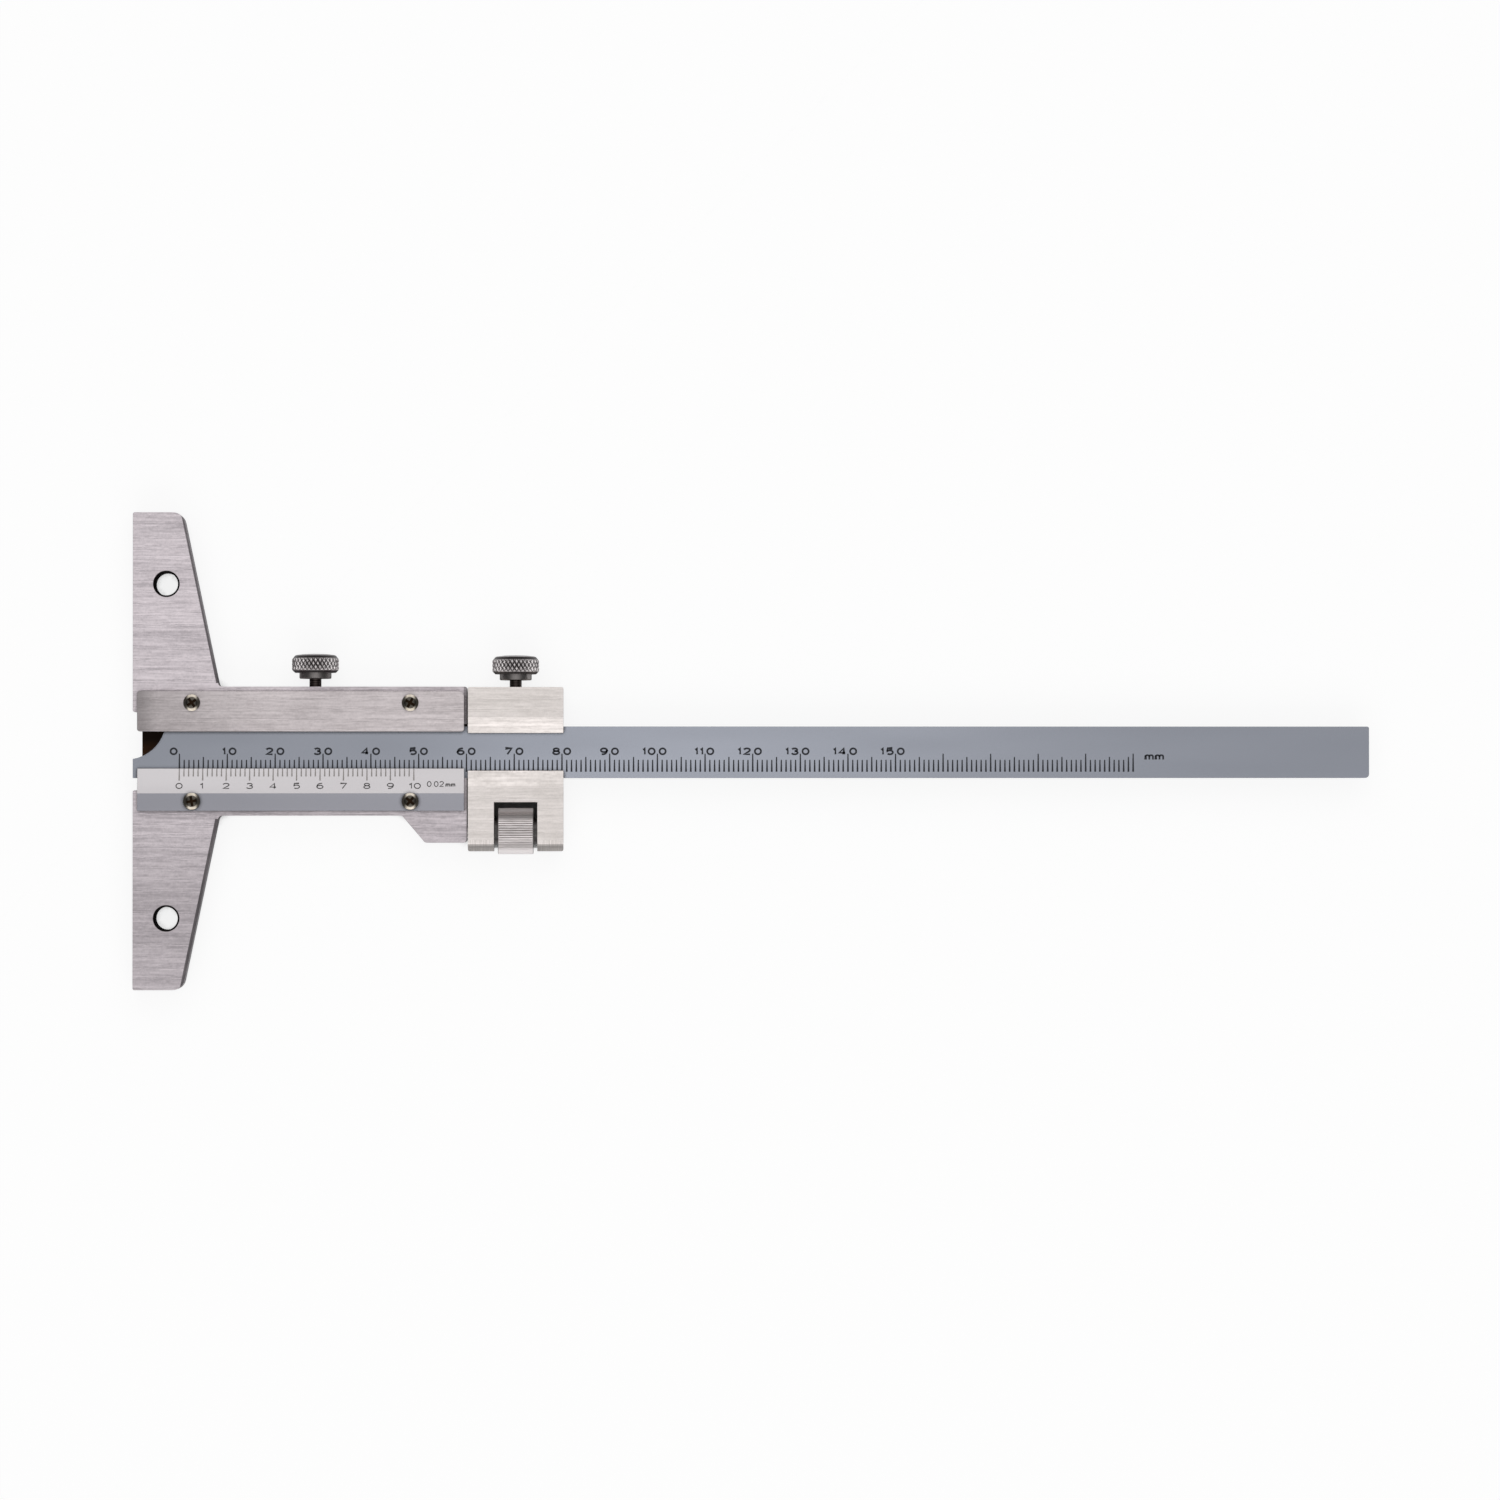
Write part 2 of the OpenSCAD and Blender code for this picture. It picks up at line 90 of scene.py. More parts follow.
class Tree:
    """Adds nodes to one material or world.

    A value given to a node is a number or colour, or another node's socket to link.
    """

    def __init__(self, owner):
        owner.use_nodes = True
        self.tree = owner.node_tree

    def add(self, kind, inputs=None, **settings):
        node = self.tree.nodes.new(kind)
        for name, value in settings.items():
            setattr(node, name, value)
        for name, value in (inputs or {}).items():
            self.feed(node.inputs[name], value)
        return node

    def feed(self, socket, value):
        if isinstance(value, bpy.types.NodeSocket):
            self.tree.links.new(value, socket)
        else:
            socket.default_value = value

    def math(self, operation, a, b=0.0):
        node = self.add("ShaderNodeMath", operation=operation)
        self.feed(node.inputs[0], a)
        self.feed(node.inputs[1], b)
        return node.outputs[0]

    def remap(self, value, low, high, to_low=0.0, to_high=1.0, smooth=False):
        """Carries value from low..high to to_low..to_high, held at both ends."""
        return self.add(
            "ShaderNodeMapRange",
            {"Value": value, "From Min": low, "From Max": high,
             "To Min": to_low, "To Max": to_high},
            interpolation_type="SMOOTHSTEP" if smooth else "LINEAR",
        ).outputs["Result"]

    def product(self, *factors):
        result = factors[0]
        for factor in factors[1:]:
            result = self.math("MULTIPLY", result, factor)
        return result

    def mixed(self, a, b, share):
        """So large a share of a, and the rest of b."""
        rest = self.math("SUBTRACT", 1.0, share)
        return self.math("ADD", self.math("MULTIPLY", a, share), self.math("MULTIPLY", b, rest))

    def inside(self, value, low, high, soft):
        """1 where value lies between low and high, and 0 further than soft outside."""
        above = self.remap(value, low - soft, low)
        below = self.remap(value, high, high + soft, 1.0, 0.0)
        return self.math("MULTIPLY", above, below)

    def dimmed(self, colour, factor):
        node = self.add("ShaderNodeVectorMath", operation="SCALE")
        self.feed(node.inputs[0], colour)
        self.feed(node.inputs["Scale"], factor)
        return node.outputs["Vector"]

    def ramp(self, value, stops):
        node = self.add("ShaderNodeValToRGB", {"Fac": value})
        elements = node.color_ramp.elements
        while len(elements) < len(stops):
            elements.new(1.0)
        for element, (position, colour) in zip(elements, stops):
            element.position = position
            element.color = (*colour, 1.0)
        return node.outputs["Color"]

    def blend(self, factor, a, b):
        """Colour that goes from a to b as factor goes from 0 to 1."""
        node = self.add("ShaderNodeMix", data_type="RGBA")
        self.feed(node.inputs["Factor"], factor)
        for socket, value in ((node.inputs[6], a), (node.inputs[7], b)):
            is_colour = not isinstance(value, bpy.types.NodeSocket)
            self.feed(socket, (*value, 1.0) if is_colour else value)
        return node.outputs[2]

    def axes(self, vector):
        split = self.add("ShaderNodeSeparateXYZ", {"Vector": vector})
        return split.outputs["X"], split.outputs["Y"], split.outputs["Z"]


class Metal(Tree):
    """A procedural metal whose patterns lie in the part's own coordinates, in mm."""

    ROW_STEP = 1.73

    def __init__(self, name, centre=(0, 0, 0)):
        self.material = bpy.data.materials.new(name)
        super().__init__(self.material)
        self.shader = self.tree.nodes["Principled BSDF"]
        self.shader.inputs["Metallic"].default_value = 1.0
        place = self.add("ShaderNodeTexCoord").outputs["Object"]
        self.at = self.add(
            "ShaderNodeMapping",
            {"Vector": place, "Scale": (1 / MM,) * 3, "Location": [-c for c in centre]},
        ).outputs["Vector"]

    def position(self):
        """X, Y and Z in mm, from the centre that the metal was given."""
        return self.axes(self.at)

    def pattern(self, place, detail, roughness):
        return self.add(
            "ShaderNodeTexNoise",
            {"Vector": place, "Scale": 1.0, "Detail": detail, "Roughness": roughness},
        ).outputs["Fac"]

    def noise(self, grain, detail=2.0, roughness=0.5, offset=0.0):
        """Noise from about 0.25 to 0.75 whose grains measure so many mm along X, Y and Z."""
        place = self.add(
            "ShaderNodeMapping",
            {"Vector": self.at, "Scale": [1 / g for g in grain], "Location": (offset,) * 3},
        ).outputs["Vector"]
        return self.pattern(place, detail, roughness)

    def rows(self, length, height, offset):
        """Straight, uneven marks, so many mm high and at most about so many long.

        They lie between about 0.4 and 0.6, and run along Y on faces that look along X, and
        along X elsewhere. Rows that are neighbours lie ROW_STEP apart in the noise, so that
        they don't resemble each other.
        """
        x, y, z = self.position()
        endward = self.remap(self.math("ABSOLUTE", self.facing()[0]), 0.5, 0.51)
        along = self.math("ADD", x, self.math("MULTIPLY", y, endward))
        across = self.math("ADD", z, self.math("MULTIPLY", y, self.math("SUBTRACT", 1.0, endward)))
        row = self.math("FLOOR", self.math("DIVIDE", across, height))
        place = self.add("ShaderNodeCombineXYZ", {
            "X": self.math("DIVIDE", along, length),
            "Y": self.math("MULTIPLY", row, self.ROW_STEP),
            "Z": offset,
        }).outputs["Vector"]
        return self.pattern(place, detail=6.0, roughness=0.85)

    def radius(self, a, b):
        """Distance from the axis that a and b are measured across."""
        square = self.math("ADD", self.math("POWER", a, 2.0), self.math("POWER", b, 2.0))
        return self.math("SQRT", square)

    def facing(self):
        """Components of the surface's own normal."""
        return self.axes(self.add("ShaderNodeNewGeometry").outputs["True Normal"])

    def grimed(self, colour, film_and_shade, reach=0.5, shut=0.35, clear=0.85):
        """The colour with painted shade in its corners, which reach so many mm out.

        The painted shade is whole where the share of open sky is below shut, and gone above clear.
        """
        # Painted shade: the colour darkens where little open sky is seen.
        open_sky = self.add("ShaderNodeAmbientOcclusion", {"Distance": reach * MM}, samples=4)
        unshaded = self.remap(open_sky.outputs["AO"], shut, clear)
        return self.blend(unshaded, film_and_shade, colour)

    def surface(self, colour, roughness, height, depth, edge=0.12, strength=1.0):
        """Sets the shader's colour and roughness, with a relief and eased edges.

        height is the relief's pattern and depth its greatest depth in mm. edge is the radius
        of the eased edges in mm.
        """
        eased = self.add("ShaderNodeBevel", {"Radius": edge * MM}, samples=4)
        relief = self.add(
            "ShaderNodeBump",
            {"Height": height, "Distance": depth * MM, "Strength": strength,
             "Normal": eased.outputs["Normal"]},
        )
        self.feed(self.shader.inputs["Base Color"], colour)
        self.feed(self.shader.inputs["Roughness"], roughness)
        self.feed(self.shader.inputs["Normal"], relief.outputs["Normal"])


# Metals and inks, with tones by place as measured in the photograph

class Steel(Metal):
    """Steel ground along X: fine scratches, broader streaks and a faint cloudiness."""

    def __init__(self, name, dark, light, rough, crossed=None):
        """crossed gives a socket. Where that is 1, the grinding runs across X."""
        super().__init__(name)
        fine = self.rows(length=11.0, height=0.23, offset=0.4)
        broad = self.rows(length=24.0, height=0.6, offset=7.6)
        cloud = self.noise((40.0, 4.0, 4.0), offset=3.0)
        streak = self.mixed(fine, broad, 0.65)
        if crossed:
            across = self.noise((0.2, 4.0, 4.0), detail=2.0, roughness=0.7, offset=2.0)
            streak = self.mixed(across, streak, crossed(self))
        shade = self.mixed(streak, cloud, 0.85)
        self.colour = self.ramp(shade, [(0.41, dark), (0.59, light)])
        self.gloss = self.remap(streak, 0.44, 0.56, rough + 0.05, rough - 0.05)
        self.relief = self.noise((6.0, 0.24, 0.24), detail=1.0)

    def finish(self, colour):
        """Gives the colour, and spreads the gloss across the grinding."""
        self.surface(colour, self.gloss, self.relief, depth=0.01, strength=0.2)
        tangent = self.add("ShaderNodeTangent", direction_type="RADIAL", axis="X")
        self.feed(self.shader.inputs["Tangent"], tangent.outputs["Tangent"])
        self.shader.inputs["Anisotropic"].default_value = 0.6
        return self.material


def frame_finish():
    """Painted shade on the sloping edges and in the bores, and a near-black channel behind the
    beam.

    The slider's end is in the shade where it stands out past the cover plate.
    """
    # Colour of the painted shade in the bores.
    bore_shade = (0.035, 0.03, 0.03)
    brown_end, black_end = (0.05, 0.022, 0.01), (0.012, 0.008, 0.006)
    # Colour of the painted shade in corners.
    corner_shade = (0.05, 0.042, 0.04)
    metal = Steel("frame_steel", (0.50, 0.455, 0.48), (0.84, 0.765, 0.80), 0.40)
    x, y, z = metal.position()
    # Painted shade: faces that slope towards +X are darker.
    slope = metal.remap(metal.facing()[0], 0.35, 0.6, 1.0, 0.45)
    # Painted light and shade along Y: the lower arm is darker and the upper arm paler.
    lower = metal.product(metal.remap(y, -30.0, -17.0, 0.775, 0.98, smooth=True),
                          metal.remap(y, -46.0, -34.0, 1.12, 1.0, smooth=True))
    upper = metal.product(metal.remap(y, -15.0, -13.2, 1.0, 1.05),
                          metal.remap(y, 10.0, 25.0, 1.0, 1.03, smooth=True))
    past_cover = metal.product(metal.remap(x, COVER_END_X - 0.1, COVER_END_X),
                               metal.remap(y, 3.0, 4.0))
    shaded = metal.remap(past_cover, 0.0, 1.0, 1.0, 0.5)
    colour = metal.dimmed(metal.colour, metal.product(lower, upper, slope, shaded))
    # Painted shade: the bores are near black.
    from_hole = metal.radius(x, metal.math("SUBTRACT", metal.math("ABSOLUTE", y), BASE_HOLE_Y))
    off_hole = metal.remap(from_hole, BASE_HOLE_EDGE_R, BASE_HOLE_EDGE_R + 0.03)
    colour = metal.blend(off_hole, bore_shade, colour)
    in_channel = metal.product(metal.inside(y, -CHANNEL_Y, CHANNEL_Y, soft=0.02),
                               metal.inside(z, *CHANNEL_Z, soft=0.02))
    # The channel is brown towards -Y and near black towards +Y.
    channel = metal.ramp(metal.remap(y, -1.5, 2.5), [(0.0, brown_end), (1.0, black_end)])
    colour = metal.blend(in_channel, colour, channel)
    # Painted shade darkens the corners.
    return metal.finish(metal.grimed(colour, corner_shade, reach=1.2, shut=0.34, clear=0.6))


def cover_finish():
    """Painted shade: darker towards the measuring face, most of all at its edge."""
    metal = Steel("cover_steel", (0.53, 0.482, 0.488), (0.79, 0.723, 0.732), 0.40)
    x, _, _ = metal.position()
    tone = metal.product(metal.remap(x, 0.0, 22.0, 0.81, 1.025, smooth=True),
                         metal.remap(x, -6.0, -1.0, 0.66, 1.0, smooth=True))
    return metal.finish(metal.dimmed(metal.colour, tone))


def carrier_finish():
    """Rounded ears ground crosswise and shaded towards their ends."""
    def on_ears(metal):
        _, y, _ = metal.position()
        return metal.remap(y, EAR_Y, EAR_Y + 0.1, 1.0, 0.0)

    metal = Steel("carrier_steel", (0.74, 0.69, 0.66), (0.96, 0.895, 0.865), 0.38, on_ears)
    _, y, _ = metal.position()
    tone = metal.remap(y, EAR_Y - 0.95, EAR_Y - 0.55, 0.47, 1.0, smooth=True)
    # Painted shade darkens the corners.
    return metal.finish(metal.grimed(metal.dimmed(metal.colour, tone), (0.14, 0.12, 0.115), 0.35))


def gib_finish():
    """Darkened steel of the gib screws."""
    metal = Steel("gib_steel", (0.14, 0.13, 0.13), (0.24, 0.225, 0.225), 0.34)
    return metal.finish(metal.colour)


def satin_chrome(name, dark, light, rough=0.22, tone=None, bevel=None):
    """Smooth satin plate with soft clouds, a barely seen blasted grain and painted shade in
    corners.

    tone gives a factor for the colour. bevel is a dark and a light colour for faces that
    slope towards +Y, which paint a highlight on them.
    """
    metal = Metal(name)
    grain = metal.noise((0.09, 0.09, 0.09), detail=1.0)
    cloud = metal.noise((90.0, 12.0, 12.0), offset=5.0)
    shade = metal.mixed(grain, cloud, 0.3)
    colour = metal.ramp(shade, [(0.35, dark), (0.65, light)])
    if bevel:
        # Painted highlight: paler colours on faces that slope towards +Y.
        painted_highlight = metal.ramp(shade, [(0.35, bevel[0]), (0.65, bevel[1])])
        colour = metal.blend(metal.remap(metal.facing()[1], 0.05, 0.15), colour, painted_highlight)
    if tone:
        colour = metal.dimmed(colour, tone(metal))
    gloss = metal.remap(cloud, 0.35, 0.65, rough + 0.03, rough - 0.03)
    # Painted shade darkens the corners.
    corner_shaded_colour = metal.grimed(colour, (0.05, 0.05, 0.056), reach=0.8, shut=0.5, clear=0.98)
    metal.surface(corner_shaded_colour, gloss, grain, depth=0.004, edge=0.08, strength=0.4)
    return metal.material


def beam_tone(metal):
    """Painted shade: darker towards both ends of the beam than in its middle."""
    x, _, _ = metal.position()
    return metal.product(metal.remap(x, 40.0, 78.0, 0.79, 1.04, smooth=True),
                         metal.remap(x, 100.0, 205.0, 1.0, 0.86))


def nickel(name):
    """Bright warm nickel of the plate screws, with painted shade in the recess and its corners.

    The crowns of the heads and their sides that face along X are darker, because they
    mirror a dark room in the photograph.
    """
    metal = Metal(name)
    tarnish = metal.noise((0.6, 0.6, 0.6), detail=3.0)
    _, _, z = metal.position()
    head_foot = VERNIER_HIGH.z
    # Painted shade: near black in the recess, below 0.38 mm above the head's foot.
    out_of_recess = metal.remap(z, head_foot + 0.38, head_foot + 0.44)
    unshaded = metal.ramp(tarnish, [(0.3, (0.75, 0.66, 0.54)), (0.7, (1.0, 0.91, 0.79))])
    x_facing, _, z_facing = metal.facing()
    crown = metal.remap(z_facing, 0.89, 0.94, 1.0, 0.12)
    sides = metal.remap(metal.math("ABSOLUTE", x_facing), 0.2, 0.38, 1.0, 0.22)
    colour = metal.blend(out_of_recess, (0.025, 0.014, 0.008),
                         metal.dimmed(unshaded, metal.product(crown, sides)))
    gloss = metal.remap(tarnish, 0.3, 0.7, 0.32, 0.28)
    # Painted shade darkens the corners.
    metal.surface(metal.grimed(colour, (0.015, 0.009, 0.005)), gloss, tarnish, depth=0.004,
                  edge=0.08, strength=0.5)
    return metal.material


def knurled_steel(name, centre, foot):
    """Darkened steel of a clamp screw: worn crests, a plain collar and a fine dark thread.

    foot is the Y in mm at which the collar starts.
    """
    groove_r, crest_r, thread_r = 4.66, 4.86, 1.3
    collar_h, head_h = 1.2, 4.75
    pitch = 0.45
    metal = Metal(name, centre)
    x, y, z = metal.position()
    radius = metal.radius(x, z)
    wear = metal.noise((0.5, 0.5, 0.5), detail=3.0)
    crest = metal.remap(radius, groove_r, crest_r)
    worn = metal.math("MULTIPLY", crest, metal.remap(wear, 0.3, 0.6, 0.7, 1.0))
    head = metal.blend(worn, (0.05, 0.044, 0.045), (0.95, 0.90, 0.90))
    dome = metal.ramp(wear, [(0.3, (0.30, 0.285, 0.29)), (0.7, (0.42, 0.40, 0.41))])
    knob = metal.blend(metal.remap(y, foot + head_h, foot + head_h + 0.15), head, dome)
    above_collar = metal.remap(y, foot + collar_h, foot + collar_h + 0.1)
    outside = metal.blend(above_collar, (0.26, 0.24, 0.235), knob)
    turns = metal.math("SINE", metal.math("MULTIPLY", y, 2 * math.pi / pitch))
    thread = metal.ramp(metal.remap(turns, -1.0, 1.0),
                        [(0.2, (0.012, 0.009, 0.008)), (0.9, (0.10, 0.08, 0.075))])
    colour = metal.blend(metal.remap(radius, thread_r, thread_r + 0.1), thread, outside)
    lathe = metal.noise((0.07, 0.07, 0.07), detail=1.0)
    metal.surface(colour, metal.remap(wear, 0.3, 0.7, 0.36, 0.28), lathe, depth=0.006,
                  edge=0.06, strength=0.4)
    return metal.material


def turned_steel(name, centre, crest_r):
    """Satin steel turned about X, with paler crests on a straight knurl.

    A dark band runs along it, as in the photograph, and its ends and bosses are dark.
    """
    metal = Metal(name, centre)
    _, y, z = metal.position()
    radius = metal.radius(y, z)
    film_and_shade = metal.noise((2.0, 0.4, 0.4), detail=3.0)
    crest = metal.remap(radius, crest_r - 0.2, crest_r - 0.03)
    # Painted highlight: paler near the top and the bottom of the part.
    painted_highlight = metal.math(
        "MAXIMUM", metal.remap(y, 0.78 * crest_r, 0.84 * crest_r),
        metal.remap(y, -0.80 * crest_r, -0.72 * crest_r, 1.0, 0.0))
    # Painted shade: a dark band along the part.
    off_band = metal.math("ABSOLUTE", metal.math("SUBTRACT", y, 0.64 * crest_r))
    band = metal.remap(off_band, 0.04 * crest_r, 0.2 * crest_r, 0.68, 1.0, smooth=True)
    # Painted shade: the ends and the bosses are darker.
    ends = metal.remap(metal.math("ABSOLUTE", metal.facing()[0]), 0.6, 0.8, 1.0, 0.15)
    bosses = metal.remap(radius, crest_r - 0.5, crest_r - 0.4, 0.2, 1.0)
    groove = metal.ramp(film_and_shade, [(0.3, (0.53, 0.495, 0.485)), (0.7, (0.65, 0.61, 0.60))])
    ground = metal.ramp(film_and_shade, [(0.3, (0.70, 0.655, 0.65)), (0.7, (0.84, 0.79, 0.785))])
    colour = metal.blend(crest, groove, metal.blend(painted_highlight, ground, (0.97, 0.92, 0.92)))
    lathe = metal.noise((0.06, 0.5, 0.5), detail=2.0)
    metal.surface(metal.dimmed(colour, metal.product(band, ends, bosses)),
                  metal.remap(film_and_shade, 0.3, 0.7, 0.46, 0.36), lathe, depth=0.006,
                  edge=0.05, strength=0.5)
    return metal.material


def rolled_brass(name, dark, light):
    """Copper alloy of the springs and pads, with faint marks along X."""
    metal = Metal(name)
    marks = metal.noise((6.0, 0.15, 0.15), detail=3.0)
    metal.surface(metal.ramp(marks, [(0.3, dark), (0.7, light)]),
                  metal.remap(marks, 0.3, 0.7, 0.38, 0.26), marks, depth=0.006, edge=0.05)
    return metal.material


def ink(name, dark, light):
    """Matt filling of an engraved line, a little uneven."""
    metal = Metal(name)
    metal.shader.inputs["Metallic"].default_value = 0.0
    grain = metal.noise((0.12, 0.12, 0.12), detail=2.0)
    metal.surface(metal.ramp(grain, [(0.3, dark), (0.7, light)]),
                  metal.remap(grain, 0.3, 0.7, 0.6, 0.45), grain, depth=0.004, edge=0.02)
    return metal.material


def middle(node):
    """Centre of a node's box, in mm."""
    low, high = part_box(node)
    return (low + high) / 2 / MM


def clamp_steel(node, seat, shown_thread):
    """Finish of a clamp screw.

    seat is the Y in mm of the face that it enters, and shown_thread the length in mm of the
    thread that shows above that face.
    """
    centre = middle(node)
    return knurled_steel(node, (centre.x, 0.0, centre.z), seat + shown_thread)


frame_steel = frame_finish()
cover_steel = cover_finish()
carrier_steel = carrier_finish()
gib_steel = gib_finish()
beam_chrome = satin_chrome("beam_chrome", (0.375, 0.395, 0.453), (0.405, 0.425, 0.483),
                           tone=beam_tone)
# The bevel colours are a painted highlight on the vernier's bevel.
plate_chrome = satin_chrome("plate_chrome", (0.345, 0.345, 0.385), (0.375, 0.375, 0.415),
                            bevel=((0.535, 0.512, 0.525), (0.573, 0.55, 0.563)))
screw_nickel = nickel("screw_nickel")
spring_bronze = rolled_brass("spring_bronze", (0.40, 0.26, 0.13), (0.60, 0.43, 0.25))
pad_brass = rolled_brass("pad_brass", (0.52, 0.38, 0.15), (0.72, 0.56, 0.27))
nut_centre = middle("feed_nut")
nut_steel = turned_steel("nut_steel", nut_centre, NUT_R)
rod_steel = turned_steel("rod_steel", nut_centre, ROD_R)
pin_steel = turned_steel("pin_steel", nut_centre, ROD_R)
black_ink = ink("black_ink", (0.004, 0.005, 0.009), (0.016, 0.018, 0.03))
grey_ink = ink("grey_ink", (0.05, 0.046, 0.045), (0.10, 0.092, 0.09))
pale_ink = ink("pale_ink", (0.32, 0.29, 0.275), (0.43, 0.395, 0.375))

FINISHES = {
    "slider_frame": frame_steel,
    "cover_plate": cover_steel,
    "beam": beam_chrome,
    "vernier_plate": plate_chrome,
    "carrier": carrier_steel,
    "cover_screw_front": screw_nickel,
    "cover_screw_rear": screw_nickel,
    "vernier_screw_front": screw_nickel,
    "vernier_screw_rear": screw_nickel,
    "gib_spring": spring_bronze,
    "carrier_spring": spring_bronze,
    "gib_screw_front": gib_steel,
    "gib_screw_rear": gib_steel,
    "slider_clamp_pad": pad_brass,
    "carrier_clamp_pad": pad_brass,
    "slider_clamp_screw": clamp_steel("slider_clamp_screw", seat=13.5, shown_thread=1.7),
    "carrier_clamp_screw": clamp_steel("carrier_clamp_screw", seat=13.4, shown_thread=1.5),
    "feed_nut": nut_steel,
    "feed_screw": rod_steel,
    "feed_screw_pin": pin_steel,
}
for node_name, finish in FINISHES.items():
    slots = nodes[node_name].data.materials
    slots.clear()
    slots.append(finish)


# Figures and lines, as strokes

def arc(cx, cy, rx, ry, start, stop):
    """Points of an elliptic arc between two angles in degrees."""
    step, fewest = 15, 4
    steps = max(fewest, round(abs(stop - start) / step))
    angles = [math.radians(start + (stop - start) * i / steps) for i in range(steps + 1)]
    return [(cx + rx * math.cos(a), cy + ry * math.sin(a)) for a in angles]


def half_turned(strokes):
    return [[(1 - x, 1 - y) for x, y in points] for points in strokes]


# Centre lines in a box of 1 by 1

SIX = [
    arc(0.5, 0.31, 0.5, 0.31, 0, 360),
    [(0.0, 0.31), (0.02, 0.5), (0.1, 0.7), (0.26, 0.88), (0.5, 0.98), (0.86, 1.0)],
]
GLYPHS = {
    "0": [arc(0.5, 0.5, 0.5, 0.5, 0, 360)],
    "1": [[(0.0, 0.74), (0.55, 0.86), (1.0, 1.0), (1.0, 0.0)]],
    "2": [arc(0.5, 0.72, 0.48, 0.28, 165, -30) + [(0.62, 0.36), (0.0, 0.0), (1.0, 0.0)]],
    "3": [arc(0.5, 0.76, 0.42, 0.24, 155, -90), arc(0.5, 0.27, 0.5, 0.27, 90, -160)],
    "4": [[(0.74, 0.0), (0.74, 1.0), (0.0, 0.26), (1.0, 0.26)]],
    "5": [[(0.92, 1.0), (0.16, 1.0), (0.08, 0.56)] + arc(0.5, 0.33, 0.5, 0.33, 145, -135)],
    "6": SIX,
    "7": [[(0.0, 1.0), (1.0, 1.0), (0.32, 0.0)]],
    "8": [arc(0.5, 0.77, 0.42, 0.23, 0, 360), arc(0.5, 0.27, 0.5, 0.27, 0, 360)],
    "9": half_turned(SIX),
    ".": [[(0.0, 0.0), (1.0, 0.0)]],
    "m": [
        [(0.0, 0.0), (0.0, 1.0)],
        arc(0.25, 0.66, 0.25, 0.34, 180, 0) + [(0.5, 0.0)],
        arc(0.75, 0.66, 0.25, 0.34, 180, 0) + [(1.0, 0.0)],
    ],
}
NARROW = {"1": 0.42, ".": 0.16}


class Print:
    """Gathers thin strokes that lie on a surface whose height in mm is surface_z(y)."""

    THICKNESS = 0.012
    SAME_POINT = 1e-6
    SHARPEST_MITRE = 0.6

    def __init__(self, surface_z):
        self.surface_z = surface_z
        self.mesh = bmesh.new()

    def stroke(self, points, width):
        closed = math.dist(points[0], points[-1]) < self.SAME_POINT
        if closed:
            points = points[:-1]
        rings = [self.ring(points, i, width, closed) for i in range(len(points))]
        following = rings[1:] + rings[:1] if closed else rings[1:]
        for near, far in zip(rings, following):
            for i in range(4):
                j = (i + 1) % 4
                self.mesh.faces.new((near[i], near[j], far[j], far[i]))
        if not closed:
            self.mesh.faces.new(rings[0])
            self.mesh.faces.new(rings[-1][::-1])

    def ring(self, points, i, width, closed):
        """Four corners of the stroke's section at one of its points, mitred."""
        here = Vector(points[i])
        last = len(points) - 1
        before = Vector(points[i - 1]) if i or closed else here
        after = Vector(points[(i + 1) % (last + 1)]) if i < last or closed else here
        arrive = (here - before).normalized() or (after - here).normalized()
        leave = (after - here).normalized() or arrive
        along = (arrive + leave).normalized()
        mitre = max(along.dot(arrive), self.SHARPEST_MITRE)
        side = Vector((-along.y, along.x)) * width / 2 / mitre
        corners = []
        for sign, raised in ((-1, 0), (1, 0), (1, 1), (-1, 1)):
            x, y = here + side * sign
            z = self.surface_z(y) + (self.THICKNESS if raised else 0)
            corners.append(self.mesh.verts.new((x * MM, y * MM, z * MM)))
        return corners

    def line(self, x, y0, y1, width):
        self.stroke([(x, y0), (x, y1)], width)

    def write(self, text, x, y, size, weight, gap=0):
        """Writes from the left edge x and the foot y. size is a wide figure's width and height."""
        for glyph in text:
            width = size[0] * NARROW.get(glyph, 1.0)
            across, up = width - weight, size[1] - weight
            for points in GLYPHS[glyph]:
                self.stroke([(x + weight / 2 + px * across, y + weight / 2 + py * up)
                             for px, py in points], weight)
            x += width + gap

    def length(self, text, size, gap=0):
        return sum(size[0] * NARROW.get(g, 1.0) + gap for g in text) - gap

    def piece(self, name, material, body, slot):
        """Makes the strokes a piece of the scene that rides on a body."""
        bmesh.ops.recalc_face_normals(self.mesh, faces=self.mesh.faces)
        data = bpy.data.meshes.new(name)
        self.mesh.to_mesh(data)
        self.mesh.free()
        data.materials.append(material)
        piece = bpy.data.objects.new(name, data)
        bpy.context.scene.collection.objects.link(piece)
        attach(piece, body)


def beam_z(_):
    return BEAM_FRONT_Z


def vernier_z(y):
    """Height of the vernier plate's bevel at y."""
    edge_y, flat_y = VERNIER_HIGH.y, VERNIER_LOW.y + VERNIER_FLAT_W
    edge_z, flat_z = VERNIER_LOW.z + BEVEL_EDGE_T, VERNIER_HIGH.z
    return edge_z + (edge_y - y) / (edge_y - flat_y) * (flat_z - edge_z)


# Main scale: 200 mm in whole millimetres, numbered every 10 mm up to 150

